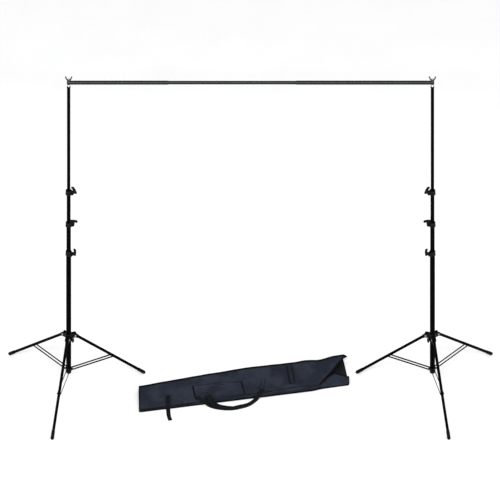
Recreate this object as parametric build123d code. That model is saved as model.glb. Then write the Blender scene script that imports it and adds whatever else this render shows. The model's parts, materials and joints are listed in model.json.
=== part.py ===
from build123d import *
import os
from math import atan2, degrees, hypot, sqrt

# Background support: two telescoping light stands, a telescoping crossbar between their
# tops, and the carry bag that lies on the floor between them.
# Millimetres. X runs along the crossbar, Y to the back, Z up, and the floor is z = 0.
# The left stand is built about its own axis, and the right stand is its mirror image.

os.makedirs("parts", exist_ok=True)

# Whole rig
SPAN = 2000.0            # between the two stand axes
STAND_Y = 67.0           # the stand axes lie behind the middle of the footprint
PLAY = 0.35              # radial gap between pieces that slide or turn on each other

# Column: four tubes, thickest at the bottom
TUBE_RADII = (14.0, 12.25, 10.75, 9.25)
TUBE_WALL = 1.2
TUBE_BOTTOMS = (128.0, 481.0, 724.0, 1343.0)
COLLAR_BOTTOMS = (968.0, 1176.0, 1407.0)
COLLAR_HEIGHT = 30.0
COLLAR_RADIUS = 16.8
COLLAR_SOCKET = 12.0     # how far a tube stands inside the collar on its top end
COLUMN_TOP = 2188.0
RIM_HEIGHT = 9.0

# Split clamps of the collars: two round ears with the clamp screw across them
EAR_AZIMUTHS = (-40.0, -5.0, -20.0)
GRIP_TURNS = (0.0, 90.0, -28.0)
SCREW_R = 23.0           # screw axis, from the column axis
SCREW_HEIGHT = 17.0      # screw axis, above the collar's bottom
SCREW_RADIUS = 3.0
CLAMP_EAR_RADIUS = 9.5
CLAMP_HALF_WIDTH = 10.5
CLAMP_SLIT = 3.0
NUT_BOSS = (6.0, 3.5)
KNOB_REACH = 32.0        # from the middle of the clamp to the outside of the grip
GRIP = (55.0, 20.8, 10.0, 13.0)          # bow radius, half angle, thickness, width

# Leg hub that slides on the base tube
HUB_RADIUS = 18.0
HUB_BOTTOM = 348.0
HUB_TOP = 402.0
HUB_SCREW_Z = 368.0
HUB_KNOB_AZIMUTH = -42.0
HUB_BOSS_FACE = 22.0
HUB_BOSS_WIDTH = 14.0
HUB_KNOB_REACH = 37.0
HUB_GRIP = (34.0, 18.0, 8.0, 11.0)
LEG_AZIMUTHS = (18.0, 138.0, 258.0)
LEG_PIVOT = (35.0, 384.0)        # distance from the axis, height
LUG_THICK = 3.5
LUG_RADIUS = 13.0
PIVOT_PIN_RADIUS = 2.5
PIN_HEAD = (4.5, 2.0)

# Legs and feet
FOOT_PIVOT = (434.0, 7.0)        # centre of the rounded foot: distance from the axis, height
LEG_RADIUS = 8.0
LEG_WALL = 1.2
LEG_EYE = 7.9                    # half width and end radius of the block in the leg's top
LEG_TUBE_START = 14.0
BOOT_RADIUS = 9.5
BOOT_LENGTH = 42.0
BOOT_FLOOR = 4.0                 # rubber between the tube's end and the foot centre

# Spreader: fixed hub at the bottom of the base tube, and a pair of bars to each leg
SPREADER_PIVOT = (20.0, 144.0)
SPREADER_RADIUS = 17.0
SPREADER_HEIGHT = 22.0
EAR_RADIUS = 4.0
EAR_HALF_WIDTH = 8.1
CLIP_SHARE = 0.55                # where the bars meet the leg, as a share of its length
BAR_THICK = 2.0
BAR_HALF_HEIGHT = 4.4
BAR_INNER_FACE = 8.4
BAR_PIN_RADIUS = 2.0
BAR_RIVET = (3.6, 1.5)
PLUG_FLANGE = (14.5, 10.0)
PLUG_DEPTH = 17.0

# Crossbar
BAR_Z = 2215.0
BAR_RADIUS = 11.5
BAR_WALL = 1.0
MIDDLE_RADIUS = 10.15
BAR_OVERHANG = 6.5               # tube past each stud, without its cap
LEFT_BAR_END = -453.0            # where the middle tube shows
RIGHT_BAR_END = 250.0
BAR_OVERLAP = 200.0              # middle tube hidden inside each outer tube
CAP_THICK = 3.5
CAP_PLUG = 1.8
SPIGOT_RADIUS = 8.0
SPIGOT_DEPTH = 40.0
STUD_RADIUS = 4.0
STUD_TOP = 2245.0
NUT_BOTTOM = 2227.1
NUT_HEIGHT = 11.0
NUT_RADII = (8.0, 5.8)
WING_THICK = 3.2
WING_OUTLINE = (
    (3.0, 1.0), (8.0, 1.0), (15.5, 13.0), (20.5, 28.0), (18.0, 34.0), (13.0, 30.0), (10.0, 18.0), (3.0, 9.0),
)

# Carry bag: a flat soft case, low at its near side, with its mouth at the right end.
# Its outline in plan, and the height of its top at the left near, left far and right far corners.
BAG_NEAR = ((-610.0, -131.0), (350.0, 50.0), (384.0, 65.0), (540.0, 98.0))
BAG_FAR = ((510.0, 300.0), (445.0, 283.0), (385.0, 255.0), (250.0, 235.0), (-16.0, 190.0), (-612.0, 43.0))
BAG_TOP = (14.0, 34.0, 50.0)
BAG_WALL = 2.5
WEBBING = 25.0
WEBBING_THICK = 2.5
WEBBING_FLOOR = 0.5      # under the webbing that lies on the floor
HANDLE_ROUTE = (
    (-264.0, -46.0), (-212.0, -88.0), (-150.0, -106.0), (-80.0, -101.0), (-14.0, -73.0), (32.0, -30.0),
    (64.0, 16.0),
)
HANDLE_BEND = 90.0
TAIL_STRAP = (-453.0, -5.0, 98.0)          # X, Y of its sewn end, length on the floor
STRAP_STAND_OFF = 5.0
STRAP_BEND = 3.0
SEWN_STRAP = (221.0, 151.0, 128.0, 8.6)     # centre X and Y, length, turn


def tube(outer, inner, bottom, top):
    """A round tube or sleeve about the stand axis."""
    height = top - bottom
    return Pos(0, 0, (bottom + top) / 2) * (Cylinder(outer, height) - Cylinder(inner, height + 2))


def rod(radius, bottom, top):
    """A solid round piece about the stand axis."""
    return Pos(0, 0, (bottom + top) / 2) * Cylinder(radius, top - bottom)


def along_x(radius, start, end):
    """A solid round piece that points along +X."""
    return Pos((start + end) / 2, 0, 0) * Rot(0, 90, 0) * Cylinder(radius, end - start)


def across(radius, width):
    """A solid round piece along Y, centred on the origin."""
    return Rot(90, 0, 0) * Cylinder(radius, width)


def turned(shape, azimuth):
    """Turned about the stand axis, from pointing along +X."""
    return Rot(0, 0, azimuth) * shape


def column_tube(level):
    """One telescoping tube; the top one carries a rolled rim."""
    radius = TUBE_RADII[level]
    top = COLUMN_TOP if level == 3 else COLLAR_BOTTOMS[level] + COLLAR_SOCKET
    made = tube(radius, radius - TUBE_WALL, TUBE_BOTTOMS[level], top)
    if level == 3:
        made += tube(radius + 1.0, radius - TUBE_WALL, top - RIM_HEIGHT, top)
    return made


def collar(level):
    """A split clamp collar: a socket on the lower tube, a throat round the next, and two ears."""
    bottom = COLLAR_BOTTOMS[level]
    top = bottom + COLLAR_HEIGHT
    screw_z = bottom + SCREW_HEIGHT
    body = chamfer(rod(COLLAR_RADIUS, bottom, top).edges(), 1.8)
    body += rod(COLLAR_RADIUS + 1.2, bottom + 2.5, bottom + 7.5)
    ears = across(CLAMP_EAR_RADIUS, 2 * CLAMP_HALF_WIDTH)
    ears += Pos(-SCREW_R / 2, 0, 0) * Box(SCREW_R, 2 * CLAMP_HALF_WIDTH, 2 * CLAMP_EAR_RADIUS)
    boss_radius, boss = NUT_BOSS
    ears += Pos(0, -CLAMP_HALF_WIDTH - boss / 2, 0) * across(boss_radius, boss)
    body += Pos(SCREW_R, 0, screw_z) * ears
    body -= Pos(SCREW_R, 0, screw_z) * across(SCREW_RADIUS + 0.1, 3 * CLAMP_HALF_WIDTH)
    body -= rod(TUBE_RADII[level], bottom - 1, bottom + COLLAR_SOCKET)
    body -= rod(TUBE_RADII[level + 1] + PLAY, bottom, top + 1)
    slit_bottom = bottom + COLLAR_SOCKET - 5
    slit_height = top + 1 - slit_bottom
    slit = Pos(SCREW_R + 2, 0, slit_bottom + slit_height / 2) * Box(24, CLAMP_SLIT, slit_height)
    return turned(body - slit, EAR_AZIMUTHS[level])


def knob(tip, face, reach, bow, turn):
    """A clamp knob along +X: screw from the tip, collar against the face, neck, and a bowed grip."""
    radius, half_angle, thick, width = bow
    made = along_x(SCREW_RADIUS, tip, reach - thick / 2)
    made += along_x(6.8, face + 0.4, face + 3.4)
    made += along_x(5.6, face + 3.4, reach - thick / 2)
    arc = CenterArc((reach - thick / 2 - radius, 0), radius, -half_angle, 2 * half_angle)
    grip = extrude(Plane.XZ * SlotArc(arc, thick), width / 2, both=True)
    grip = fillet(grip.edges(), 2.0)
    return made + Rot(turn, 0, 0) * grip


def collar_knob(level):
    """The knob whose screw crosses the collar's ears, tightened from the far side."""
    made = knob(-CLAMP_HALF_WIDTH, CLAMP_HALF_WIDTH, KNOB_REACH, GRIP, GRIP_TURNS[level])
    placed = Pos(SCREW_R, 0, COLLAR_BOTTOMS[level] + SCREW_HEIGHT) * Rot(0, 0, 90) * made
    return turned(placed, EAR_AZIMUTHS[level])


def leg_hub():
    """Sliding sleeve with three pairs of lugs and the boss of its own clamp knob."""
    pivot_r, pivot_z = LEG_PIVOT
    body = chamfer(rod(HUB_RADIUS, HUB_BOTTOM, HUB_TOP).edges(), 1.5)
    boss = Pos(HUB_BOSS_FACE / 2, 0, HUB_SCREW_Z) * Box(HUB_BOSS_FACE, HUB_BOSS_WIDTH, HUB_BOSS_WIDTH)
    body += turned(boss, HUB_KNOB_AZIMUTH)
    lug = across(LUG_RADIUS, LUG_THICK)
    lug += Pos(-pivot_r / 2, 0, 0) * Box(pivot_r, LUG_THICK, 2 * LUG_RADIUS)
    lug -= across(PIVOT_PIN_RADIUS, LUG_THICK + 2)
    offset = LEG_EYE + 0.4 + LUG_THICK / 2
    for azimuth in LEG_AZIMUTHS:
        for side in (-offset, offset):
            body += turned(Pos(pivot_r, side, pivot_z) * lug, azimuth)
    body -= rod(TUBE_RADII[0] + PLAY, HUB_BOTTOM - 1, HUB_TOP + 1)
    screw_hole = Pos(0, 0, HUB_SCREW_Z) * along_x(SCREW_RADIUS + 0.1, 0, HUB_BOSS_FACE + 1)
    return body - turned(screw_hole, HUB_KNOB_AZIMUTH)


def hub_pins():
    """The three headed pins that the legs turn on."""
    half = LEG_EYE + 0.4 + LUG_THICK
    head_radius, head = PIN_HEAD
    pin = across(PIVOT_PIN_RADIUS, 2 * half)
    for side in (-1, 1):
        pin += Pos(0, side * (half + head / 2), 0) * across(head_radius, head)
    placed = Pos(LEG_PIVOT[0], 0, LEG_PIVOT[1]) * pin
    return Compound([turned(placed, azimuth) for azimuth in LEG_AZIMUTHS])


def hub_knob():
    made = knob(TUBE_RADII[0] + 0.4, HUB_BOSS_FACE, HUB_KNOB_REACH, HUB_GRIP, 0)
    return turned(Pos(0, 0, HUB_SCREW_Z) * made, HUB_KNOB_AZIMUTH)


LEG_RUN = FOOT_PIVOT[0] - LEG_PIVOT[0]
LEG_DROP = LEG_PIVOT[1] - FOOT_PIVOT[1]
LEG_LENGTH = hypot(LEG_RUN, LEG_DROP)
LEG_ANGLE = degrees(atan2(LEG_RUN, LEG_DROP))
CLIP_R = LEG_PIVOT[0] + CLIP_SHARE * LEG_RUN
CLIP_Z = LEG_PIVOT[1] - CLIP_SHARE * LEG_DROP
BAR_LENGTH = hypot(CLIP_R - SPREADER_PIVOT[0], CLIP_Z - SPREADER_PIVOT[1])
BAR_ANGLE = degrees(atan2(CLIP_R - SPREADER_PIVOT[0], CLIP_Z - SPREADER_PIVOT[1]))


def opened(shape):
    """From hanging straight down at the hub pivot to the open leg's place, in the XZ plane."""
    return Pos(LEG_PIVOT[0], 0, LEG_PIVOT[1]) * Rot(0, -LEG_ANGLE, 0) * shape


def leg(azimuth):
    """Leg tube with the eye block in its top end."""
    end = -(LEG_LENGTH - BOOT_FLOOR)
    made = tube(LEG_RADIUS, LEG_RADIUS - LEG_WALL, end, -LEG_TUBE_START)
    block = Pos(0, 0, -LEG_TUBE_START) * Box(2 * LEG_EYE, 2 * LEG_EYE, 2 * LEG_TUBE_START)
    made += block + across(LEG_EYE, 2 * LEG_EYE)
    made -= across(PIVOT_PIN_RADIUS + 0.05, 2 * LEG_EYE + 2)
    return turned(opened(made), azimuth)


def foot(azimuth):
    """Rubber boot on the leg's end, rounded, and worn flat where it stands."""
    made = rod(BOOT_RADIUS, -LEG_LENGTH, -(LEG_LENGTH - BOOT_LENGTH))
    made += Pos(0, 0, -LEG_LENGTH) * Sphere(BOOT_RADIUS)
    made -= rod(LEG_RADIUS, -(LEG_LENGTH - BOOT_FLOOR), -LEG_LENGTH + BOOT_LENGTH + 1)
    below = Pos(FOOT_PIVOT[0], 0, -20) * Box(120, 80, 40)
    return turned(opened(made) - below, azimuth)


def strut(azimuth):
    """A pair of flat bars joined by the pin that turns in the spreader hub's ear."""
    side = BAR_INNER_FACE + BAR_THICK / 2
    outer_face = BAR_INNER_FACE + BAR_THICK
    bar = Pos(0, 0, BAR_LENGTH / 2) * Box(2 * BAR_HALF_HEIGHT, BAR_THICK, BAR_LENGTH)
    bar += across(BAR_HALF_HEIGHT, BAR_THICK)
    bar += Pos(0, 0, BAR_LENGTH) * across(BAR_HALF_HEIGHT, BAR_THICK)
    made = across(BAR_PIN_RADIUS, 2 * outer_face)
    rivet_radius, rivet = BAR_RIVET
    for way in (-1, 1):
        made += Pos(0, way * side, 0) * bar
        for end in (0, BAR_LENGTH):
            made += Pos(0, way * (outer_face + rivet / 2), end) * across(rivet_radius, rivet)
    placed = Pos(SPREADER_PIVOT[0], 0, SPREADER_PIVOT[1]) * Rot(0, BAR_ANGLE, 0) * made
    return turned(placed, azimuth)


def spreader_hub():
    """Sleeve riveted to the base tube, with one ear for each pair of bars."""
    pivot_r, pivot_z = SPREADER_PIVOT
    low = pivot_z - SPREADER_HEIGHT / 2
    body = chamfer(rod(SPREADER_RADIUS, low, low + SPREADER_HEIGHT).edges(), 1.5)
    ear = across(EAR_RADIUS, 2 * EAR_HALF_WIDTH)
    ear += Pos(-pivot_r / 2, 0, 0) * Box(pivot_r, 2 * EAR_HALF_WIDTH, 2 * EAR_RADIUS)
    ear -= across(BAR_PIN_RADIUS + 0.05, 2 * EAR_HALF_WIDTH + 2)
    for azimuth in LEG_AZIMUTHS:
        body += turned(Pos(pivot_r, 0, pivot_z) * ear, azimuth)
    return body - rod(TUBE_RADII[0], low - 1, low + SPREADER_HEIGHT + 1)


def end_plug():
    """Plastic plug in the bottom of the base tube."""
    bottom = TUBE_BOTTOMS[0]
    flange_radius, flange = PLUG_FLANGE
    made = chamfer(rod(flange_radius, bottom - flange, bottom).edges().group_by(Axis.Z)[0], 3.0)
    return made + rod(TUBE_RADII[0] - TUBE_WALL - 0.05, bottom, bottom + PLUG_DEPTH)


def spigot():
    """Chromed spigot in the top tube, with the threaded stud that the crossbar drops on."""
    shoulder = BAR_Z - BAR_RADIUS
    made = rod(SPIGOT_RADIUS, COLUMN_TOP - SPIGOT_DEPTH, shoulder)
    made -= tube(SPIGOT_RADIUS + 1, SPIGOT_RADIUS - 1.5, COLUMN_TOP + 5, COLUMN_TOP + 10)
    return made + rod(STUD_RADIUS, shoulder, STUD_TOP)


def wing_nut():
    """Wing nut on the stud; its wings stand along the crossbar."""
    base = Pos(0, 0, NUT_BOTTOM + NUT_HEIGHT / 2) * Cone(NUT_RADII[0], NUT_RADII[1], NUT_HEIGHT)
    wing = extrude(Plane.XZ * make_face(Polyline(*WING_OUTLINE, close=True)), WING_THICK / 2, both=True)
    wing = fillet(wing.edges().filter_by(Axis.Y), 1.2)
    for turn in (0, 180):
        base += Rot(0, 0, turn) * Pos(0, 0, NUT_BOTTOM) * wing
    return base - rod(STUD_RADIUS + 0.1, NUT_BOTTOM - 1, NUT_BOTTOM + NUT_HEIGHT + 40)


def stand_pieces():
    """Every piece of one stand about its own axis, by name."""
    made = {"base_tube": column_tube(0), "second_tube": column_tube(1)}
    made.update({"third_tube": column_tube(2), "top_tube": column_tube(3)})
    for level in range(3):
        made[f"collar_{level + 1}"] = collar(level)
        made[f"collar_knob_{level + 1}"] = collar_knob(level)
    made.update({"leg_hub": leg_hub(), "hub_pins": hub_pins(), "hub_knob": hub_knob()})
    for number, azimuth in enumerate(LEG_AZIMUTHS, start=1):
        made[f"leg_{number}"] = leg(azimuth)
        made[f"foot_{number}"] = foot(azimuth)
        made[f"strut_{number}"] = strut(azimuth)
    made.update({"spreader_hub": spreader_hub(), "end_plug": end_plug()})
    made.update({"spigot": spigot(), "wing_nut": wing_nut()})
    return made


def bar_section(radius, wall, start, end):
    """A length of crossbar tube from one X to another."""
    length = end - start
    shell = Cylinder(radius, length) - Cylinder(radius - wall, length + 2)
    return Pos((start + end) / 2, STAND_Y, BAR_Z) * Rot(0, 90, 0) * shell


def stud_hole(side):
    return Pos(side * SPAN / 2, STAND_Y, BAR_Z) * Cylinder(STUD_RADIUS + PLAY, 4 * BAR_RADIUS)


def end_cap(side):
    """Domed plastic cap with a short plug in the crossbar's end."""
    start = SPAN / 2 + BAR_OVERHANG
    dome = fillet(along_x(BAR_RADIUS, start, start + CAP_THICK).edges().group_by(Axis.X)[-1], 2.8)
    dome += along_x(BAR_RADIUS - BAR_WALL - 0.05, start - CAP_PLUG, start)
    turn = 0 if side > 0 else 180
    return Pos(0, STAND_Y, BAR_Z) * Rot(0, 0, turn) * dome


def crossbar_pieces():
    reach = SPAN / 2 + BAR_OVERHANG
    left = bar_section(BAR_RADIUS, BAR_WALL, -reach, LEFT_BAR_END) - stud_hole(-1)
    right = bar_section(BAR_RADIUS, BAR_WALL, RIGHT_BAR_END, reach) - stud_hole(1)
    start, end = LEFT_BAR_END - BAR_OVERLAP, RIGHT_BAR_END + BAR_OVERLAP
    middle = bar_section(MIDDLE_RADIUS, BAR_WALL, start, end)
    made = {"crossbar_left": left, "crossbar_middle": middle, "crossbar_right": right}
    made.update({"crossbar_cap_left": end_cap(-1), "crossbar_cap_right": end_cap(1)})
    return made


def bag_top(drop=0.0):
    """The slanted plane of the bag's top, lowered by a drop."""
    left_near, left_far, right_far = (height - drop for height in BAG_TOP)
    corner = Vector(*BAG_NEAR[0], left_near)
    along = Vector(*BAG_FAR[0], right_far) - corner
    over = Vector(*BAG_FAR[-1], left_far) - corner
    return Plane(origin=corner, x_dir=along, z_dir=along.cross(over))


def top_height(x, y):
    """Height of the bag's top at a place in plan."""
    top = bag_top()
    rise = (x - top.origin.X) * top.z_dir.X + (y - top.origin.Y) * top.z_dir.Y
    return top.origin.Z - rise / top.z_dir.Z


def bag_block(outline, bottom=0.0, drop=0.0):
    """A block of an outline in plan, cut off by the slanted top."""
    block = Pos(0, 0, bottom) * extrude(make_face(Polyline(*outline, close=True)), 2 * max(BAG_TOP))
    return split(block, bisect_by=bag_top(drop), keep=Keep.BOTTOM)


def bag_body():
    """Flat soft case, closed at the left and open at the right."""
    gap = 1.06 * BAG_WALL
    near = [(x, y + gap) for x, y in BAG_NEAR]
    far = [(x, y - gap) for x, y in BAG_FAR]
    near[0] = (near[0][0] + BAG_WALL, near[0][1])
    far[-1] = (far[-1][0] + BAG_WALL, far[-1][1])
    mouth = [(BAG_NEAR[-1][0] + 10, near[-1][1] + 2), (BAG_NEAR[-1][0] + 10, far[0][1])]
    return bag_block(BAG_NEAR + BAG_FAR) - bag_block(near + mouth + far, BAG_WALL, BAG_WALL)


def bag_handle():
    """Webbing carry loop that lies on the floor in front of the bag."""
    route = FilletPolyline(*HANDLE_ROUTE, radius=HANDLE_BEND)
    band = extrude(make_face(offset(route, WEBBING / 2, side=Side.BOTH)), WEBBING_THICK)
    return Pos(0, 0, WEBBING_FLOOR) * band - bag_block(BAG_NEAR + BAG_FAR)


def closure_strap():
    """Strap from the bag's top over its near side, with its free end on the floor."""
    x, start, tail = TAIL_STRAP
    half = WEBBING_THICK / 2
    (x0, y0), (x1, y1) = BAG_NEAR[:2]
    near = y0 + (y1 - y0) * (x - WEBBING / 2 - x0) / (x1 - x0) - STRAP_STAND_OFF
    lift = 1.4 * half + 0.5 * WEBBING * abs(bag_top().z_dir.X / bag_top().z_dir.Z)
    ends = [(y, top_height(x, y) + lift) for y in (start, near)]
    low = WEBBING_FLOOR + half
    route = FilletPolyline(*ends, (near, low), (near - tail, low), radius=STRAP_BEND)
    band = make_face(offset(route, half, side=Side.BOTH))
    return Pos(x, 0, 0) * extrude(Plane.YZ * band, WEBBING / 2, both=True)


def sewn_strap():
    """Short strap sewn flat on the bag's top."""
    x, y, length, turn = SEWN_STRAP
    place = Plane(origin=(x, y, top_height(x, y)), x_dir=(1, 0, 0.01), z_dir=bag_top().z_dir)
    return place * Rot(0, 0, turn) * Pos(0, 0, WEBBING_THICK / 2) * Box(WEBBING, length, WEBBING_THICK)


def main():
    pieces = {}
    place = Pos(-SPAN / 2, STAND_Y, 0)
    for name, shape in stand_pieces().items():
        pieces[f"left_{name}"] = place * shape
        pieces[f"right_{name}"] = mirror(place * shape, about=Plane.YZ)
    pieces.update(crossbar_pieces())
    pieces.update({"bag_body": bag_body(), "bag_handle": bag_handle()})
    pieces["bag_straps"] = Compound([closure_strap(), sewn_strap()])
    for name, shape in pieces.items():
        export_step(shape, f"parts/{name}.step")
    box = Compound(list(pieces.values())).bounding_box()
    print(len(pieces), "nodes, box", box.min, box.max)
    fold = sqrt(BAR_LENGTH**2 - (LEG_PIVOT[0] - SPREADER_PIVOT[0]) ** 2)
    travel = SPREADER_PIVOT[1] + fold + CLIP_SHARE * LEG_LENGTH - LEG_PIVOT[1]
    folded_bar = degrees(atan2(LEG_PIVOT[0] - SPREADER_PIVOT[0], fold))
    print("leg", LEG_LENGTH, LEG_ANGLE, "bar", BAR_LENGTH, BAR_ANGLE, folded_bar, "travel", travel)


main()
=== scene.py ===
import json
import math

import bmesh
import bpy
import numpy as np
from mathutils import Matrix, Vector, noise
from mathutils.bvhtree import BVHTree

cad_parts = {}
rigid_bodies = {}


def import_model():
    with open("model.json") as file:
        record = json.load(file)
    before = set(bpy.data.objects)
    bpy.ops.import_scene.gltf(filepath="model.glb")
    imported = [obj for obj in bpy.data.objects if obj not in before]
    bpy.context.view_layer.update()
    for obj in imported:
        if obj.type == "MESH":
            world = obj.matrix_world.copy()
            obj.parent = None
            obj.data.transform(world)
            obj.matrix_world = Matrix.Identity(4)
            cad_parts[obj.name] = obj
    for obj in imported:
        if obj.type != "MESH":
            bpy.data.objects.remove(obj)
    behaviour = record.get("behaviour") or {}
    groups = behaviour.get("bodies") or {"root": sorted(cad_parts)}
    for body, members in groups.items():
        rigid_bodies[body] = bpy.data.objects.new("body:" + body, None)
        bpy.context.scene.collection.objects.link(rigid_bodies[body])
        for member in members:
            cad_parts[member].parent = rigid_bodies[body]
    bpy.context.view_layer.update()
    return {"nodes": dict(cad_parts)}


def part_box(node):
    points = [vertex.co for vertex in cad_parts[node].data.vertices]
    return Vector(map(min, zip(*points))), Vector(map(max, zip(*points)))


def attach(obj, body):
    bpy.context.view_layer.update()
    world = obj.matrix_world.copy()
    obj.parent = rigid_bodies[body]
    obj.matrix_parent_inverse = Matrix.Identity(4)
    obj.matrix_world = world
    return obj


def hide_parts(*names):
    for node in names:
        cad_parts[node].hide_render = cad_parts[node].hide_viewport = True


for leftover in list(bpy.data.objects):
    bpy.data.objects.remove(leftover)

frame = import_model()

# Metres. X runs along the crossbar, Y to the back, Z up, and the floor is z = 0.

# ---------------------------------------------------------------- driving sizes

WEBBING = 0.025
WEBBING_THICK = 0.0022
FABRIC = 0.0016
PIPING = 0.0027
FLOOR_GAP = 0.0006
BASE_TOP = 0.0045        # the lowest place that loose cloth may sink to
FOLD_GAIN = 1.5
EXTRA_CLOTH = 0.016      # how much wider the cloth is cut than its outline needs
DRAPE_LIMIT = 0.013      # the furthest that a point may move while it drapes
CLOTH_CELL = (0.0087, 0.0079)
TAB_EDGE = 0.0135
STITCH_INSET = 0.0095

# The bag in plan and height: seams as (x, y, z), the near floor edge as (x, y, 0)
NEAR_FLOOR = (
    (-0.610, -0.131, 0), (0.350, 0.050, 0), (0.384, 0.065, 0), (0.540, 0.0985, 0),
)
FAR_SEAM = (
    (-0.612, 0.043, 0.036), (-0.300, 0.121, 0.042), (-0.016, 0.189, 0.046), (0.250, 0.2335, 0.046),
    (0.285, 0.2415, 0.051), (0.330, 0.2425, 0.054), (0.370, 0.2475, 0.048), (0.410, 0.266, 0.045),
    (0.445, 0.2835, 0.046), (0.510, 0.300, 0.046),
)
NEAR_HEIGHT = (
    (0.0, 0.012), (0.35, 0.016), (0.55, 0.026), (0.75, 0.034), (0.862, 0.025), (0.93, 0.021), (1.0, 0.017),
)
NEAR_INSET = ((0.0, 0.005), (0.55, 0.007), (0.862, 0.010), (0.90, 0.070), (0.93, 0.096), (1.0, 0.052))
# The lid's free edge by its share of the way from the near seam to the far one: share, x, y, z
LID_EDGE = (
    (0.0, 0.382, 0.0745, 0.026), (0.542, 0.4445, 0.173, 0.033), (0.917, 0.508, 0.274, 0.046),
    (0.958, 0.527, 0.287, 0.047), (1.0, 0.510, 0.300, 0.046),
)
LID_SHARE = 0.862        # how far along the near side the lid is joined
# Creases and soft rolls in the lid: start, end, half width and height
FOLDS = (
    ((-0.587, 0.012), (-0.560, -0.112), 0.008, -0.0045), ((-0.566, 0.030), (-0.534, -0.085), 0.010, 0.0030),
    ((-0.540, -0.020), (-0.470, -0.060), 0.012, -0.0025), ((-0.420, 0.075), (-0.330, 0.020), 0.014, 0.0030),
    ((-0.400, -0.060), (-0.340, 0.000), 0.010, -0.0030), ((-0.045, 0.030), (0.010, 0.150), 0.012, 0.0030),
    ((0.015, 0.050), (0.045, 0.160), 0.010, -0.0030), ((0.100, 0.055), (0.150, 0.200), 0.014, 0.0030),
    ((0.150, 0.050), (0.195, 0.120), 0.010, -0.0030), ((0.245, 0.070), (0.300, 0.120), 0.010, -0.0035),
    ((0.290, 0.070), (0.345, 0.165), 0.012, 0.0035), ((0.335, 0.220), (0.405, 0.130), 0.012, 0.0035),
    ((0.375, 0.238), (0.436, 0.182), 0.009, -0.0040), ((0.420, 0.262), (0.470, 0.230), 0.010, 0.0030),
)
CORNER_ROUNDING = 0.018
LID_COLUMNS = 132
LOBE_COLUMNS = 18
ROWS = 24
RISE_STEPS = 5


# ---------------------------------------------------------------- materials

class Finish:
    """A Principled material in the making. Its texture coordinates are metres on the piece itself."""

    def __init__(self, name, color, roughness, specular=0.5):
        self.material = bpy.data.materials.new(name)
        self.material.use_nodes = True
        self.tree = self.material.node_tree
        self.shader = self.tree.nodes["Principled BSDF"]
        self.shader.inputs["Base Color"].default_value = (*color, 1)
        self.shader.inputs["Roughness"].default_value = roughness
        self.shader.inputs["Specular IOR Level"].default_value = specular
        self.place = self.node("ShaderNodeTexCoord").outputs["Object"]
        self.color = None
        self.start = color
        self.normal = None

    def node(self, kind, settings=None, **inputs):
        made = self.tree.nodes.new(kind)
        for name, value in (settings or {}).items():
            setattr(made, name, value)
        for name, value in inputs.items():
            self.feed(made.inputs[name.replace("_", " ")], value)
        return made

    def feed(self, socket, value):
        if isinstance(value, bpy.types.NodeSocket):
            self.tree.links.new(value, socket)
        else:
            socket.default_value = value

    def cloth_place(self):
        """Coordinates along and across the cut cloth, in metres."""
        self.place = self.node("ShaderNodeUVMap", {"uv_map": "cloth"}).outputs["UV"]

    def noise(self, scale, detail=3.0, stretch=(1, 1, 1)):
        place = self.node("ShaderNodeMapping", Vector=self.place, Scale=stretch)
        made = self.node("ShaderNodeTexNoise", Vector=place.outputs["Vector"], Scale=scale, Detail=detail)
        return made.outputs["Fac"]

    def bands(self, period, direction):
        """Ridges across one axis, with their spacing in metres."""
        settings = {"wave_type": "BANDS", "bands_direction": direction}
        made = self.node("ShaderNodeTexWave", settings, Vector=self.place, Scale=2 * math.pi / (20 * period))
        return made.outputs["Fac"]

    def between(self, value, low, high, to_low=0.0, to_high=1.0):
        made = self.node("ShaderNodeMapRange", {"interpolation_type": "SMOOTHSTEP"}, Value=value)
        for name, number in (("From Min", low), ("From Max", high), ("To Min", to_low), ("To Max", to_high)):
            made.inputs[name].default_value = number
        return made.outputs["Result"]

    def maths(self, operation, first, second):
        made = self.node("ShaderNodeMath", {"operation": operation})
        self.feed(made.inputs[0], first)
        self.feed(made.inputs[1], second)
        return made.outputs["Value"]

    def tint(self, amount, color):
        """Mixes another colour in where amount is 1."""
        made = self.node("ShaderNodeMix", {"data_type": "RGBA"})
        self.feed(made.inputs[0], amount)
        self.feed(made.inputs[6], self.color or (*self.start, 1))
        made.inputs[7].default_value = (*color, 1)
        self.color = made.outputs[2]
        self.feed(self.shader.inputs["Base Color"], self.color)

    def roughen(self, amount, low, high):
        self.feed(self.shader.inputs["Roughness"], self.between(amount, 0.0, 1.0, low, high))

    def bump(self, height, distance, strength=1.0):
        made = self.node("ShaderNodeBump", Height=height, Strength=strength, Distance=distance)
        if self.normal:
            self.feed(made.inputs["Normal"], self.normal)
        self.normal = made.outputs["Normal"]
        self.feed(self.shader.inputs["Normal"], self.normal)


def black_tube():
    """Satin black powder coat: fine grain, faint handling marks and a little dust."""
    made = Finish("black_tube", (0.0006, 0.0006, 0.0007), 0.42, 0.012)
    grain = made.noise(1400, 2)
    marks = made.noise(90, 4, (1, 1, 0.06))
    made.tint(made.between(marks, 0.62, 0.72, 0, 0.5), (0.0040, 0.0040, 0.0046))
    made.tint(made.between(made.noise(14, 3), 0.5, 0.75, 0, 0.35), (0.0022, 0.0022, 0.0026))
    made.roughen(marks, 0.34, 0.56)
    made.bump(grain, 0.00006, 0.5)
    return made.material


def black_strut():
    """Flat painted steel bars, a little drier than the tubes."""
    made = Finish("black_strut", (0.0008, 0.0008, 0.0009), 0.46, 0.02)
    made.tint(made.between(made.noise(160, 4), 0.58, 0.70, 0, 0.6), (0.0070, 0.0070, 0.0078))
    made.roughen(made.noise(60, 4), 0.38, 0.62)
    made.bump(made.noise(900, 2), 0.00008, 0.5)
    return made.material


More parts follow.
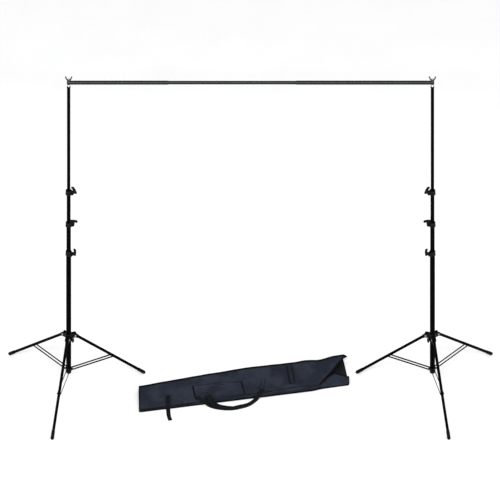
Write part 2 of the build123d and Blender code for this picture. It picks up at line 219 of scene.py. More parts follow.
def crossbar_enamel():
    """Dark blue-grey gloss enamel with long fine rub marks."""
    made = Finish("crossbar_enamel", (0.0028, 0.0033, 0.0055), 0.22, 0.20)
    rubs = made.noise(120, 5, (0.05, 1, 1))
    made.tint(made.between(rubs, 0.60, 0.72, 0, 0.45), (0.0110, 0.0125, 0.0175))
    made.tint(made.between(made.noise(7, 3), 0.45, 0.7, 0, 0.4), (0.0040, 0.0048, 0.0078))
    made.roughen(rubs, 0.18, 0.30)
    made.bump(made.noise(500, 3), 0.00005, 0.4)
    return made.material


def moulded(name, color, roughness, specular):
    """Black moulded plastic: spark-eroded grain, soft flow marks and rubbed high spots."""
    made = Finish(name, color, roughness, specular)
    flow = made.noise(70, 4)
    lighter = tuple(3.2 * part for part in color)
    made.tint(made.between(flow, 0.52, 0.74, 0, 0.6), lighter)
    made.tint(made.between(made.noise(420, 5), 0.66, 0.74, 0, 0.5), tuple(6 * part for part in color))
    made.roughen(flow, roughness - 0.08, roughness + 0.14)
    made.bump(made.noise(1100, 2), 0.00012, 0.6)
    made.bump(made.noise(150, 2), 0.00030, 0.3)
    return made.material


def boot_rubber():
    """Matt rubber with pale floor dust low down and in its pores."""
    made = Finish("boot_rubber", (0.0022, 0.0022, 0.0024), 0.72, 0.08)
    height = made.node("ShaderNodeSeparateXYZ", Vector=made.place).outputs["Z"]
    dust = made.maths("MULTIPLY", made.between(height, 0.0, 0.03, 1, 0.1), made.noise(240, 5))
    made.tint(made.between(dust, 0.3, 0.75, 0, 0.5), (0.016, 0.015, 0.014))
    made.roughen(made.noise(180, 3), 0.62, 0.88)
    made.bump(made.noise(700, 4), 0.00015, 0.7)
    return made.material


def plated(name, color, roughness):
    """Bright plating with turning marks and a little tarnish."""
    made = Finish(name, color, roughness)
    made.shader.inputs["Metallic"].default_value = 1.0
    marks = made.noise(300, 3, (1, 1, 12))
    made.tint(made.between(made.noise(90, 4), 0.52, 0.75, 0, 0.55), tuple(0.55 * part for part in color))
    made.roughen(marks, roughness - 0.06, roughness + 0.12)
    made.bump(marks, 0.00004, 0.5)
    return made.material


def bag_fabric():
    """Coated oxford cloth: plain weave, soft mottling, a dry sheen, lighter patches painted in as glints on
    the folds, and painted shade in its creases and recesses.
    """
    made = Finish("bag_fabric", (0.0066, 0.0094, 0.0178), 0.52, 0.10)
    # Painted highlight: lighter patches the size of the folds, placed at random, stand in for glints on the
    # folds.
    made.tint(made.between(made.noise(7, 4), 0.42, 0.60, 0, 0.95), (0.0165, 0.0205, 0.0325))
    made.tint(made.between(made.noise(16, 5, (0.6, 1, 1)), 0.50, 0.70, 0, 0.6), (0.0035, 0.0042, 0.0080))
    # Painted shade: an ambient-occlusion mask darkens the cloth's colour in creases and recesses and beside
    # the straps, pocket and floor.
    painted_crease_shade = made.node("ShaderNodeAmbientOcclusion", {"samples": 8}, Distance=0.05).outputs["AO"]
    made.tint(made.between(painted_crease_shade, 0.55, 0.97, 0.9, 0.0), (0.0022, 0.0027, 0.0050))
    made.bump(made.noise(9, 3, (1, 0.5, 1)), 0.016, 0.7)
    made.bump(made.noise(30, 3), 0.0040, 0.6)
    made.cloth_place()
    weave = made.maths("MULTIPLY", made.bands(0.0011, "X"), made.bands(0.0011, "Y"))
    made.tint(made.between(weave, 0.0, 0.35, 0.35, 0.0), (0.0080, 0.0095, 0.0155))
    made.bump(weave, 0.00020, 0.7)
    return made.material


def bag_lining():
    """The coated inner face of the cloth."""
    made = Finish("bag_lining", (0.0060, 0.0058, 0.0070), 0.60, 0.1)
    made.tint(made.between(made.noise(45, 4), 0.45, 0.75, 0, 0.7), (0.0120, 0.0115, 0.0125))
    made.bump(made.noise(60, 4), 0.0010, 0.5)
    return made.material


def webbing(name, color):
    """Woven tape with ribs across it and a selvedge line along it."""
    made = Finish(name, color, 0.70, 0.06)
    made.tint(made.between(made.noise(50, 4), 0.45, 0.75, 0, 0.6), tuple(2.4 * part for part in color))
    made.cloth_place()
    ribs = made.bands(0.0022, "X")
    made.tint(made.between(ribs, 0.1, 0.6, 0.5, 0.0), tuple(0.45 * part for part in color))
    made.bump(ribs, 0.00035, 0.8)
    made.bump(made.bands(0.0030, "Y"), 0.00015, 0.6)
    return made.material


def stitching():
    made = Finish("thread", (0.014, 0.017, 0.024), 0.6, 0.1)
    made.tint(made.between(made.noise(2500, 2), 0.4, 0.6, 0, 0.7), (0.008, 0.009, 0.012))
    made.bump(made.noise(4000, 2), 0.0001, 0.6)
    return made.material


MATERIALS = {
    "black_tube": black_tube(),
    "black_strut": black_strut(),
    "crossbar_enamel": crossbar_enamel(),
    "collar_casting": moulded("collar_casting", (0.0013, 0.0013, 0.0015), 0.34, 0.09),
    "knob_plastic": moulded("knob_plastic", (0.0011, 0.0011, 0.0013), 0.36, 0.09),
    "cap_plastic": moulded("cap_plastic", (0.0011, 0.0011, 0.0013), 0.32, 0.09),
    "boot_rubber": boot_rubber(),
    "rivet_steel": plated("rivet_steel", (0.46, 0.46, 0.47), 0.34),
    "chrome": plated("chrome", (0.62, 0.63, 0.65), 0.20),
    "wing_steel": plated("wing_steel", (0.085, 0.085, 0.090), 0.34),
    "bag_fabric": bag_fabric(),
    "bag_lining": bag_lining(),
    "bag_webbing": webbing("bag_webbing", (0.0034, 0.0044, 0.0048)),
    "bag_piping": webbing("bag_piping", (0.0009, 0.0010, 0.0013)),
    "thread": stitching(),
}


def dress_cad_nodes():
    """Gives each CAD node the finish of its own material slot; the wing nuts' plating has gone dark."""
    for name, node in frame["nodes"].items():
        for held in node.material_slots:
            slot = "wing_steel" if name.endswith("wing_nut") else held.material.name.split(".")[0]
            held.material = MATERIALS[slot]


# ---------------------------------------------------------------- mesh tools

def new_piece(name, vertices, faces, materials, body, uv=None):
    """A mesh piece that rides on a body; uv holds one (along, across) pair for each vertex."""
    mesh = bpy.data.meshes.new(name)
    mesh.from_pydata([tuple(point) for point in vertices], [], faces)
    if uv is not None:
        layer = mesh.uv_layers.new(name="cloth")
        for loop in mesh.loops:
            layer.data[loop.index].uv = uv[loop.vertex_index]
    for material_name in materials:
        mesh.materials.append(MATERIALS[material_name])
    mesh.polygons.foreach_set("use_smooth", [True] * len(mesh.polygons))
    piece = bpy.data.objects.new(name, mesh)
    bpy.context.scene.collection.objects.link(piece)
    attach(piece, body)
    return piece


class Mould:
    """Collects swept shapes that end up in one mesh."""

    def __init__(self):
        self.vertices = []
        self.faces = []
        self.uv = []

    def sweep(self, path, section, sides_of, closed_ends=True):
        """Places the section's (side, up) points along the path, with sides_of(i) giving the two axes."""
        start = len(self.vertices)
        count = len(section)
        girth = np.concatenate([[0], np.cumsum(np.linalg.norm(np.diff(np.array(section), axis=0), axis=1))])
        length = 0.0
        for i, point in enumerate(path):
            length += (point - path[i - 1]).length if i else 0.0
            side, up = sides_of(i)
            for k, (a, b) in enumerate(section):
                self.vertices.append(point + side * a + up * b)
                self.uv.append((length, float(girth[k])))
        for i in range(len(path) - 1):
            for k in range(count):
                here, there = start + i * count, start + (i + 1) * count
                self.faces.append((here + k, here + (k + 1) % count, there + (k + 1) % count, there + k))
        if closed_ends:
            self.faces.append(tuple(start + k for k in reversed(range(count))))
            last = start + (len(path) - 1) * count
            self.faces.append(tuple(last + k for k in range(count)))

    def cord(self, path, radius, sides=8):
        """A round tube along the path."""
        turns = [2 * math.pi * k / sides for k in range(sides)]
        section = [(radius * math.cos(t), radius * math.sin(t)) for t in turns]
        axes = carried_axes(path)
        self.sweep(path, section, lambda i: axes[i])

    def ribbon(self, path, ups, width, thick):
        """A flat strap along the path, with its face towards ups."""
        edge = min(0.4 * thick, 0.001)
        half, flat = width / 2, thick / 2
        section = [
            (-half, 0), (-half + edge, flat), (0, flat), (half - edge, flat),
            (half, 0), (half - edge, -flat), (0, -flat), (-half + edge, -flat),
        ]
        tangents = path_tangents(path)

        def axes(i):
            side = tangents[i].cross(ups[i]).normalized()
            return side, side.cross(tangents[i]).normalized()

        self.sweep(path, section, axes)

    def piece(self, name, material, body="bag"):
        made = new_piece(name, self.vertices, self.faces, [material], body, self.uv)
        work = bmesh.new()
        work.from_mesh(made.data)
        bmesh.ops.recalc_face_normals(work, faces=work.faces)
        work.to_mesh(made.data)
        work.free()
        return made


def path_tangents(path):
    ends = len(path) - 1
    return [(path[min(i + 1, ends)] - path[max(i - 1, 0)]).normalized() for i in range(len(path))]


def carried_axes(path):
    """Two axes across the path at each point, carried along it without twist."""
    tangents = path_tangents(path)
    start = Vector((0, 0, 1)) if abs(tangents[0].z) < 0.8 else Vector((1, 0, 0))
    side = tangents[0].cross(start).normalized()
    axes = []
    for tangent in tangents:
        side = (side - tangent * side.dot(tangent)).normalized()
        axes.append((side, tangent.cross(side)))
    return axes


def smooth_path(points, steps):
    """A Catmull-Rom curve through the points, with that many steps for each run."""
    points = [Vector(point) for point in points]
    padded = [2 * points[0] - points[1], *points, 2 * points[-1] - points[-2]]
    made = []
    for i in range(1, len(padded) - 2):
        a, b, c, d = padded[i - 1:i + 3]
        for k in range(steps):
            t = k / steps
            made.append(0.5 * (2 * b + (c - a) * t + (2 * a - 5 * b + 4 * c - d) * t**2
                               + (3 * b - a - 3 * c + d) * t**3))
    return [*made, points[-1]]


# ---------------------------------------------------------------- the bag's cloth

def share(table, value):
    """The table's value at a share, run straight between its rows."""
    return float(np.interp(value, [row[0] for row in table], [row[1] for row in table]))


def on_line(line, x):
    """The point of a seam line at x, with the line's corners rounded."""
    spots = x + np.linspace(-CORNER_ROUNDING, CORNER_ROUNDING, 9)
    xs = [point[0] for point in line]
    spots = np.clip(spots, xs[0], xs[-1])
    y, z = (float(np.mean(np.interp(spots, xs, [point[k] for point in line]))) for k in (1, 2))
    return Vector((x, y, z))


def near_floor(u):
    first, last = NEAR_FLOOR[0][0], NEAR_FLOOR[-1][0]
    point = on_line(NEAR_FLOOR, first + u * (last - first))
    return point + Vector((0, 0.002 * noise.noise((9 * u, 3.1, 0)), FLOOR_GAP))


def near_seam(u):
    point = near_floor(u)
    wave = 0.0025 * noise.noise((14 * u, 0.7, 5))
    return point + Vector((0, share(NEAR_INSET, u), share(NEAR_HEIGHT, u) + wave))


def far_seam(u):
    first, last = FAR_SEAM[0][0], FAR_SEAM[-1][0]
    point = on_line(FAR_SEAM, first + u * (last - first))
    return point + Vector((0, 0, 0.0015 * noise.noise((16 * u, 8.3, 2))))


def far_floor(u):
    point = far_seam(u)
    return Vector((point.x, point.y + 0.002, FLOOR_GAP))


def lid_end(v):
    """The point of the lid's free edge at a share across the lid."""
    return Vector([share([(row[0], row[k]) for row in LID_EDGE], v) for k in (1, 2, 3)])


def fold_height(point):
    """How far the folds lift or sink the lid at a point."""
    height = 0.0
    for start, end, width, rise in FOLDS:
        run = Vector(end) - Vector(start)
        from_start = point.xy - Vector(start)
        along = from_start.dot(run) / run.length_squared
        off = abs(from_start.cross(run)) / run.length
        if -0.3 < along < 1.3:
            taper = math.cos(max(-1.0, min(1.0, (along - 0.5) / 0.8)) * math.pi / 2)
            height += FOLD_GAIN * rise * taper * math.exp(-(off / width)**2)
    return height


def lid_point(i, j):
    """The lid at one column and row, before it is draped."""
    v = j / ROWS
    edge = lid_end(v)
    length = NEAR_FLOOR[-1][0] - NEAR_FLOOR[0][0]
    last = min(1.0, (edge.x - NEAR_FLOOR[0][0]) / (length - 0.028 * v))
    reach = i / LID_COLUMNS
    point = near_seam(last * reach).lerp(far_seam(last * reach), v)
    point += (edge - near_seam(last).lerp(far_seam(last), v)) * reach**10
    inside = 4 * v * (1 - v) * min(1.0, 8 * reach) * min(1.0, 10 * (1 - reach))
    ripple = 0.0045 * noise.noise((11 * point.x, 5 * point.y, 1.7))
    ripple += 0.003 * noise.noise((28 * point.x, 9 * v, 4.4))
    point.z += inside * (ripple - 0.004)
    return point


def slack(panel, i, j):
    """How much of the folds' height a point takes: all of it well inside the lid, none at its seams."""
    if panel != "lid":
        return 0.0
    v, reach = j / ROWS, i / LID_COLUMNS
    return min(1.0, 6.4 * v * (1 - v) * min(1.0, 8 * reach) * min(1.0, 10 * (1 - reach)))


def raised(low, high, k):
    """A step of a wall that rises from its floor edge and leans over to its seam."""
    turn = k / RISE_STEPS * math.pi / 2
    lean, lift = 1 - math.cos(turn), math.sin(turn)
    return Vector((low.x + (high.x - low.x) * lean, low.y + (high.y - low.y) * lean,
                   low.z + (high.z - low.z) * lift))


def near_share(i):
    """How far along the near side a column stands: lid columns first, then the lobe's."""
    if i <= LID_COLUMNS:
        return LID_SHARE * i / LID_COLUMNS
    return LID_SHARE + (1 - LID_SHARE) * (i - LID_COLUMNS) / LOBE_COLUMNS


def far_share(i):
    return min(i, LID_COLUMNS) / LID_COLUMNS


def bottom_point(i, j):
    return near_floor(near_share(i)).lerp(far_floor(far_share(i)), j / ROWS)


def cloth_grids():
    """The bag's panels as grids of points, with the share of each point that its seams hold."""
    columns = LID_COLUMNS + LOBE_COLUMNS
    lid = [[lid_point(i, j) for i in range(LID_COLUMNS + 1)] for j in range(ROWS + 1)]
    near = [[raised(near_floor(near_share(i)), near_seam(near_share(i)), k) for i in range(columns + 1)]
            for k in range(RISE_STEPS + 1)]
    far = [[raised(far_floor(far_share(i)), far_seam(far_share(i)), k) for i in range(LID_COLUMNS + 1)]
           for k in range(RISE_STEPS + 1)]
    bottom = [[bottom_point(i, j) for i in range(columns + 1)] for j in range(ROWS + 1)]
    end = [[raised(bottom_point(0, j), lid_point(0, j), k) for j in range(ROWS + 1)]
           for k in range(RISE_STEPS + 1)]
    return {"lid": lid, "near": near, "far": far, "bottom": bottom, "end": end}


def held_share(panel, row, column, rows, columns):
    """How firmly the seams and the floor hold a point while the cloth drapes."""
    return float(panel == "bottom" or row in (0, rows) or column in (0, columns))


def bag_mesh():
    """One cloth shell from the panels, joined along their seams."""
    work = bmesh.new()
    layer = work.loops.layers.uv.new("cloth")
    hold = work.verts.layers.float.new("hold")
    seam = work.verts.layers.int.new("seam")
    free = work.verts.layers.float.new("slack")
    for panel, grid in cloth_grids().items():
        rows, columns = len(grid) - 1, len(grid[0]) - 1
        held = [[work.verts.new(point) for point in line] for line in grid]
        for j, line in enumerate(held):
            for i, vertex in enumerate(line):
                vertex[hold] = held_share(panel, j, i, rows, columns)
                vertex[seam] = int(j in (0, rows) or i in (0, columns))
                vertex[free] = slack(panel, i, j)
        for j in range(rows):
            for i in range(columns):
                face = work.faces.new((held[j][i], held[j][i + 1], held[j + 1][i + 1], held[j + 1][i]))
                for loop, (a, b) in zip(face.loops, ((i, j), (i + 1, j), (i + 1, j + 1), (i, j + 1))):
                    loop[layer].uv = (CLOTH_CELL[0] * a, CLOTH_CELL[1] * b)
    bmesh.ops.remove_doubles(work, verts=work.verts, dist=0.00002)
    bmesh.ops.dissolve_degenerate(work, edges=work.edges, dist=0.00001)
    bmesh.ops.recalc_face_normals(work, faces=work.faces)
    level = [face for face in work.faces if abs(face.normal.z) > 0.9]
    if max(level, key=lambda face: face.calc_center_median().z).normal.z < 0:
        bmesh.ops.reverse_faces(work, faces=work.faces)
    return work, hold, seam, free


def drape(piece, frames=32):
    """Lets the cloth sag and buckle between its seams."""
    corners = [(x, y, BASE_TOP) for x, y in ((-1, -1), (1, -1), (1, 1), (-1, 1))]
    floor = new_piece("drape_floor", corners, [(0, 1, 2, 3)], ["bag_lining"], "bag")
    floor.modifiers.new("Collision", "COLLISION")
    floor.collision.thickness_outer = 0.001
    cloth = piece.modifiers.new("Cloth", "CLOTH")
    settings = cloth.settings
    settings.quality = 7
    settings.mass = 0.25
    settings.tension_stiffness = 20
    settings.compression_stiffness = 20
    settings.shear_stiffness = 8
    settings.bending_stiffness = 0.35
    settings.air_damping = 4
    settings.shrink_min = -EXTRA_CLOTH
    settings.vertex_group_mass = "hold"
    settings.pin_stiffness = 8
    cloth.collision_settings.use_collision = False
    cloth.collision_settings.use_self_collision = False
    cloth.point_cache.frame_start = 1
    cloth.point_cache.frame_end = frames
    scene = bpy.context.scene
    for number in range(1, frames + 1):
        scene.frame_set(number)
    shaped = piece.evaluated_get(bpy.context.evaluated_depsgraph_get())
    points = np.zeros(len(piece.data.vertices) * 3)
    shaped.data.vertices.foreach_get("co", points)
    piece.modifiers.remove(cloth)
    scene.frame_set(1)
    bpy.data.objects.remove(floor)
    return points.reshape(-1, 3)


def settle(piece, draped):
    """Takes the draped places, none further than the limit from its own, and none through the base."""
    rest = np.zeros(len(piece.data.vertices) * 3)
    piece.data.vertices.foreach_get("co", rest)
    rest = rest.reshape(-1, 3)
    move = draped - rest
    length = np.maximum(np.linalg.norm(move, axis=1), 1e-9)
    move *= np.minimum(1.0, DRAPE_LIMIT / length)[:, None]
    placed = rest + move
    free = np.array([group_weight(piece, i) < 0.5 for i in range(len(rest))])
    placed[free, 2] = np.maximum(placed[free, 2], BASE_TOP)
    piece.data.vertices.foreach_set("co", placed.ravel())
    piece.data.update()


def group_weight(piece, index):
    groups = piece.data.vertices[index].groups
    return groups[0].weight if groups else 0.0


def hold_seams(piece, amounts):
    """The vertex group that pins the seams and the floor while the cloth drapes."""
    group = piece.vertex_groups.new(name="hold")
    for index, amount in enumerate(amounts):
        group.add([index], amount, "REPLACE")


def fold(mesh, amounts):
    """Presses the folds into the draped lid."""
    for vertex, amount in zip(mesh.vertices, amounts):
        vertex.co.z += amount * fold_height(vertex.co) if amount else 0.0


def crease_seams(mesh, on_seam):
    """Keeps the seams sharp when the shell is subdivided."""
    crease = mesh.attributes.new("crease_edge", "FLOAT", "EDGE")
    for edge in mesh.edges:
        crease.data[edge.index].value = 0.9 if all(on_seam[i] for i in edge.vertices) else 0.0


def thicken(piece):
    """Rounds the cloth and gives it its thickness, with the lining on the inside."""
    smooth = piece.modifiers.new("Subdivision", "SUBSURF")
    smooth.levels = smooth.render_levels = 1
    shell = piece.modifiers.new("Solidify", "SOLIDIFY")
    shell.thickness = FABRIC
    shell.offset = -1
    shell.material_offset = 1
    shell.material_offset_rim = 0


def bag_body():
    """The cloth shell of the bag, closed at the left and open at the right."""
    work, *layers = bag_mesh()
    held, on_seam, loose = ([vertex[layer] for vertex in work.verts] for layer in layers)
    mesh = bpy.data.meshes.new("bag_shell")
    work.to_mesh(mesh)
    work.free()
    mesh.materials.append(MATERIALS["bag_fabric"])
    mesh.materials.append(MATERIALS["bag_lining"])
    mesh.polygons.foreach_set("use_smooth", [True] * len(mesh.polygons))
    piece = bpy.data.objects.new("bag_shell", mesh)
    bpy.context.scene.collection.objects.link(piece)
    hold_seams(piece, held)
    settle(piece, drape(piece))
    fold(mesh, loose)
    crease_seams(mesh, on_seam)
    thicken(piece)
    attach(piece, "bag")
    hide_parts("bag_body")
    return piece


def surface_of(piece):
    shaped = piece.evaluated_get(bpy.context.evaluated_depsgraph_get())
    mesh = shaped.to_mesh()
    points = [vertex.co.copy() for vertex in mesh.vertices]
    faces = [tuple(polygon.vertices) for polygon in mesh.polygons]
    shaped.to_mesh_clear()
    return BVHTree.FromPolygons(points, faces)


def on_bag(surface, x, y, lift=0.0):
    """The point on the bag's top at a place in plan, lifted off the cloth along its normal."""
    hit, normal, _, _ = surface.ray_cast(Vector((x, y, 0.3)), Vector((0, 0, -1)))
    if hit is None:
        return Vector((x, y, FLOOR_GAP + lift)), Vector((0, 0, 1))
    if normal.z < 0:
        normal = -normal
    return hit + normal * lift, normal


# ---------------------------------------------------------------- the bag's trim

# Webbing by its centre line in plan
HANDLE = (
    (-0.292, -0.012), (-0.262, -0.046), (-0.2115, -0.0858), (-0.1566, -0.1027), (-0.1016, -0.1052),
    (-0.0577, -0.0942), (-0.0137, -0.0731), (0.0192, -0.0393), (0.0467, -0.0012), (0.058, 0.016),
    (0.068, 0.034),
)
HANDLE_DOUBLE = (
    (-0.236, -0.004), (-0.224, -0.036), (-0.205, -0.063), (-0.176, -0.084), (-0.138, -0.0965),
    (-0.104, -0.101),
)
LID_TAB = ((0.058, 0.040), (0.062, 0.066), (0.0665, 0.093), (0.069, 0.118))
CLOSURE = (
    (-0.4535, -0.004), (-0.4535, -0.030), (-0.4535, -0.070), (-0.453, -0.100), (-0.452, -0.130),
    (-0.449, -0.165), (-0.441, -0.202),
)
SEWN = ((0.2310, 0.087), (0.2250, 0.130), (0.2185, 0.172), (0.2125, 0.214))
POCKET = ((-0.318, 0.17, 0.74), (-0.052, 0.07, 0.63))       # x, and its low and high shares across the lid
POCKET_SLANT = 0.020


def bound_edge(mould, path, width, thick):
    """Tape folded over a cloth edge."""
    mould.ribbon(path, [Vector((0, 0, 1))] * len(path), width, thick)


def bag_piping():
    """Bound edges: both long seams, the floor edge, the closed end, the lid's slanted edge and the lobe."""
    mould = Mould()
    shares = [k / 160 for k in range(161)]
    mould.cord([far_seam(s) + Vector((0, 0, 0.0005)) for s in shares], 1.5 * PIPING)
    # The floor-edge cord is drawn 1.3 times the piping's size. It is partly the real piping and partly
    # painted shade on the near wall just above the floor.
    mould.cord([near_floor(s) + Vector((0, -0.0008, PIPING * 1.3)) for s in shares], PIPING * 1.3)
    mould.cord([near_seam(s * LID_SHARE) for s in shares], PIPING * 0.55)
    mould.cord([lid_point(0, j) for j in range(ROWS + 1)], 1.3 * PIPING)
    mould.cord([bottom_point(0, j) + Vector((-0.001, 0, PIPING)) for j in range(ROWS + 1)], PIPING)
    # The slanted edge's binding is drawn 10.5 mm wide and 4.5 mm thick. It is partly the real binding and
    # partly painted shadow along the lid's edge.
    bound_edge(mould, [lid_point(LID_COLUMNS, j) for j in range(ROWS + 1)], 0.0105, 0.0045)
    columns = LID_COLUMNS + LOBE_COLUMNS
    mould.cord([near_seam(near_share(i)) for i in range(LID_COLUMNS, columns + 1)], PIPING)
    end = [raised(near_floor(1.0), near_seam(1.0), k) for k in range(1, RISE_STEPS + 1)]
    mould.cord(end, PIPING)
    lift = Vector((0, 0, 0.8 * PIPING))
    mould.cord([bottom_point(columns, j) + lift for j in range(1, ROWS + 1)], 0.8 * PIPING)
    return mould


def laid(surface, route, lift, steps=8, stiff=3):
    """A strap's path along a route in plan, over the bag and down onto the floor, with its normals."""
    places = smooth_path([(x, y, 0) for x, y in route], steps)
    found = [on_bag(surface, place.x, place.y) for place in places]
    heights = [point.z for point, _ in found]
    normals = [normal for _, normal in found]
    path, ups = [], []
    for i, place in enumerate(places):
        near = range(max(0, i - stiff), min(len(places), i + stiff + 1))
        mean = sum(heights[k] for k in near) / len(near)
        path.append(Vector((place.x, place.y, max(heights[i], mean) + lift)))
        ups.append(sum((normals[k] for k in near), Vector()).normalized())
    return path, ups


def bag_handle(surface):
    """The carry loop, doubled at its left root, with its right end sewn up the lid."""
    mould = Mould()
    path, ups = laid(surface, HANDLE, 0.5 * WEBBING_THICK + FLOOR_GAP, 8)
    tilt = [math.exp(-((point.x + 0.06) / 0.06)**2) for point in path]
    path = [point + Vector((0, 0, 0.006 * amount)) for point, amount in zip(path, tilt)]
    ups = [(up + Vector((0, -0.55, 0)) * amount).normalized() for up, amount in zip(ups, tilt)]
    mould.ribbon(path, ups, WEBBING, WEBBING_THICK)
    path, ups = laid(surface, HANDLE_DOUBLE, 1.6 * WEBBING_THICK + FLOOR_GAP, 8)
    mould.ribbon(path, ups, 1.3 * WEBBING, WEBBING_THICK)
    return mould


def bag_straps(surface):
    """The closure strap with its tail on the floor, and the bound edges of the strap sewn on the lid."""
    mould = Mould()
    path, ups = laid(surface, CLOSURE, 0.5 * WEBBING_THICK + FLOOR_GAP, 10, 2)
    mould.ribbon(path, ups, 0.92 * WEBBING, WEBBING_THICK)
    path, ups = laid(surface, SEWN, 0.5 * WEBBING_THICK + 0.0008, 8)
    for off in (-TAB_EDGE, TAB_EDGE):
        mould.ribbon(strap_edges(path, ups, off), ups, 0.006, WEBBING_THICK)
    return mould


def lid_tabs(surface):
    """Cloth tabs on the lid: the wide one between its bound edges, and one above the handle's root."""
    mould = Mould()
    path, ups = laid(surface, SEWN, 0.5 * WEBBING_THICK + 0.0006, 8)
    mould.ribbon(path, ups, 0.024, 0.8 * WEBBING_THICK)
    path, ups = laid(surface, LID_TAB, 0.5 * WEBBING_THICK + 0.0006, 8)
    mould.ribbon(path, ups, WEBBING, WEBBING_THICK)
    return mould


def pocket_place(across, along):
    """A place in plan on the pocket, by its shares along and across it."""
    (x0, low0, high0), (x1, low1, high1) = POCKET
    x = x0 + (x1 - x0) * along + POCKET_SLANT * (1 - across)
    low, high = low0 + (low1 - low0) * along, high0 + (high1 - high0) * along
    u = (x - NEAR_FLOOR[0][0]) / (NEAR_FLOOR[-1][0] - NEAR_FLOOR[0][0])
    near, far = near_seam(u), far_seam(u)
    spot = near.lerp(far, low + (high - low) * across)
    return x, spot.y


def pocket_lift(across, along):
    """The pocket's cloth stands off the lid, with slack rolls that run along it."""
    puff = 4 * along * (1 - along) * min(1.0, 3 * across)
    roll = noise.noise((5 * along, 11 * across + 2 * along, 3.3))
    crease = noise.noise((9 * along, 26 * across - 3 * along, 7.1))
    return 0.0016 + puff * (0.0040 + 0.0060 * roll + 0.0026 * crease)


def bag_pocket(surface, columns=64, rows=36):
    """A flat pocket sewn on the lid on three sides, open along its far side."""
    points, uv = [], []
    for j in range(rows + 1):
        for i in range(columns + 1):
            x, y = pocket_place(j / rows, i / columns)
            point, _ = on_bag(surface, x, y, max(0.0012, pocket_lift(j / rows, i / columns)))
            points.append(point)
            uv.append((0.0041 * i, 0.0032 * j))
    wide = columns + 1
    faces = [(j * wide + i, j * wide + i + 1, (j + 1) * wide + i + 1, (j + 1) * wide + i)
             for j in range(rows) for i in range(columns)]
    piece = new_piece("bag_pocket", points, faces, ["bag_fabric"], "bag", uv)
    shell = piece.modifiers.new("Solidify", "SOLIDIFY")
    shell.thickness = FABRIC
    shell.offset = -1
    return piece


def pocket_trim(surface):
    """Tape down the pocket's two sides."""
    mould = Mould()
    for along in (0.0, 1.0):
        route = [pocket_place(k / 6, along) for k in range(7)]
        path, ups = laid(surface, route, 0.0024, 4, 1)
        mould.ribbon(path, ups, 0.0060, 0.0014)
    return mould


def pocket_hem(surface):
    """The rolled hem along the pocket's open side."""
    mould = Mould()
    shares = [k / 24 for k in range(25)]
    rim = [on_bag(surface, *pocket_place(1.0, s), pocket_lift(1.0, s) + 0.0004)[0] for s in shares]
    mould.cord(rim, 0.0018)
    return mould


def stitch_row(mould, path, ups, spacing=0.0058, length=0.0036):
    """A run of stitches that stand a little proud along a path."""
    left = 0.0
    for a, b, up in zip(path, path[1:], ups):
        run = b - a
        while left < run.length:
            middle = a + run.normalized() * left
            half = run.normalized() * length / 2
            mould.cord([middle - half, middle + up * 0.0003, middle + half], 0.00045, 5)
            left += spacing
        left -= run.length


def strap_edges(path, ups, off):
    """The path moved sideways in the strap's plane."""
    tangents = path_tangents(path)
    return [point + tangents[i].cross(ups[i]).normalized() * off for i, point in enumerate(path)]


def bag_stitches(surface):
    """Rows of thread beside the long seams and down the straps' edges, and a crossed box on the wide tab."""
    mould = Mould()
    lift = WEBBING_THICK + 0.0010
    for route in (SEWN, LID_TAB, CLOSURE[:4]):
        path, ups = laid(surface, route, lift, 8)
        for off in (-STITCH_INSET, STITCH_INSET):
            stitch_row(mould, strap_edges(path, ups, off), ups)
    path, ups = laid(surface, SEWN[:2], lift, 8)
    for near_side in (-STITCH_INSET, STITCH_INSET):
        start, end = (strap_edges(path, ups, off)[k] for off, k in ((near_side, 0), (-near_side, -1)))
        run = [start.lerp(end, k / 8) for k in range(9)]
        stitch_row(mould, run, [ups[0]] * 9, 0.005, 0.0032)
    for v, first, last in ((0.035, 0.02, 0.985), (0.965, 0.01, 0.97)):
        route = []
        for k in range(61):
            u = first + (last - first) * k / 60
            u *= LID_SHARE if v < 0.5 else 1.0
            spot = near_seam(u).lerp(far_seam(u), v)
            route.append((spot.x, spot.y))
        path, ups = laid(surface, route, 0.0006, 2, 0)
        stitch_row(mould, path, ups)
    return mould


# ---------------------------------------------------------------- stage, light, camera

VIEW_WIDTH = 2.749
VIEW_DISTANCE = 12.0
VIEW_ELEVATION = math.radians(40.53)
AIM_HEIGHT = 1.0043
AIM_X = -0.003


def stand_y():
    low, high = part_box("left_base_tube")
    return (low.y + high.y) / 2


def set_camera():
    """A parallel view from in front and above."""
    data = bpy.data.cameras.new("view")
    data.type = "ORTHO"
    data.ortho_scale = VIEW_WIDTH
    data.clip_end = 60
    camera = bpy.data.objects.new("view", data)
    bpy.context.scene.collection.objects.link(camera)
    back = Vector((0, -math.cos(VIEW_ELEVATION), math.sin(VIEW_ELEVATION)))
    camera.location = Vector((AIM_X, stand_y(), AIM_HEIGHT)) + back * VIEW_DISTANCE
    camera.rotation_euler = (math.pi / 2 - VIEW_ELEVATION, 0, 0)
    bpy.context.scene.camera = camera


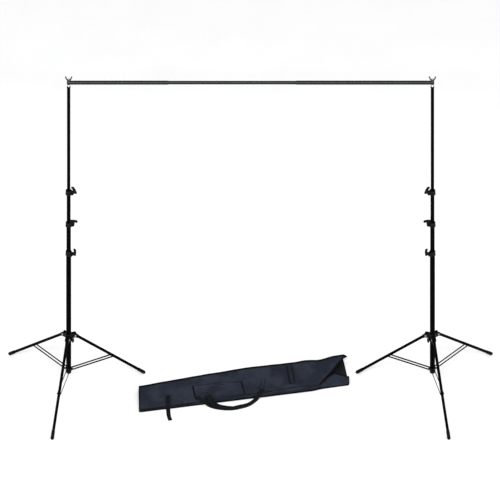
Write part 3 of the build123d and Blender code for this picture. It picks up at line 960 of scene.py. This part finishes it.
def area_light(name, place, aim, size, power):
    data = bpy.data.lights.new(name, "AREA")
    data.shape = "RECTANGLE"
    data.size, data.size_y = size
    data.energy = power
    light = bpy.data.objects.new(name, data)
    light.location = place
    light.rotation_euler = (Vector(aim) - Vector(place)).to_track_quat("-Z", "Y").to_euler()
    light.visible_camera = False
    bpy.context.scene.collection.objects.link(light)


def set_light():
    world = bpy.data.worlds.new("studio")
    bpy.context.scene.world = world
    world.use_nodes = True
    background = world.node_tree.nodes["Background"]
    background.inputs["Color"].default_value = (1, 1, 1, 1)
    background.inputs["Strength"].default_value = 1.0
    area_light("key", (-0.6, -6.0, 6.6), (0, 0, 1.0), (5.0, 2.4), 330)
    area_light("fill", (5.5, -2.5, 4.0), (0, 0, 1.0), (2.0, 3.0), 90)
    area_light("rake", (-7.0, -2.5, 1.9), (0, 0.1, 0), (3.0, 1.6), 110)
    area_light("strip", (0.0, -6.5, 7.8), (0, 0, 2.2), (5.0, 0.30), 260)
    bpy.context.scene.view_settings.view_transform = "Standard"


def set_floor():
    mesh = bpy.data.meshes.new("floor")
    reach = 30.0
    mesh.from_pydata([(-reach, -reach, 0), (reach, -reach, 0), (reach, reach, 0), (-reach, reach, 0)],
                     [], [(0, 1, 2, 3)])
    finish = Finish("floor", (0.75, 0.75, 0.75), 0.85, 0.1)
    finish.tint(finish.between(finish.noise(3, 3), 0.3, 0.7, 0, 1), (0.735, 0.735, 0.74))
    mesh.materials.append(finish.material)
    floor = bpy.data.objects.new("floor", mesh)
    bpy.context.scene.collection.objects.link(floor)


dress_cad_nodes()
bag = bag_body()
lid_surface = surface_of(bag)
bag_piping().piece("bag_piping", "bag_piping")
bag_pocket(lid_surface)
pocket_trim(lid_surface).piece("pocket_trim", "bag_piping")
pocket_hem(lid_surface).piece("pocket_hem", "bag_fabric")
lid_tabs(lid_surface).piece("lid_tabs", "bag_fabric")
bag_stitches(lid_surface).piece("bag_stitches", "thread")
handle = bag_handle(lid_surface).piece("carry_loop", "bag_webbing")
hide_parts("bag_handle")
straps = bag_straps(lid_surface).piece("straps", "bag_webbing")
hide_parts("bag_straps")
set_floor()
set_light()
set_camera()
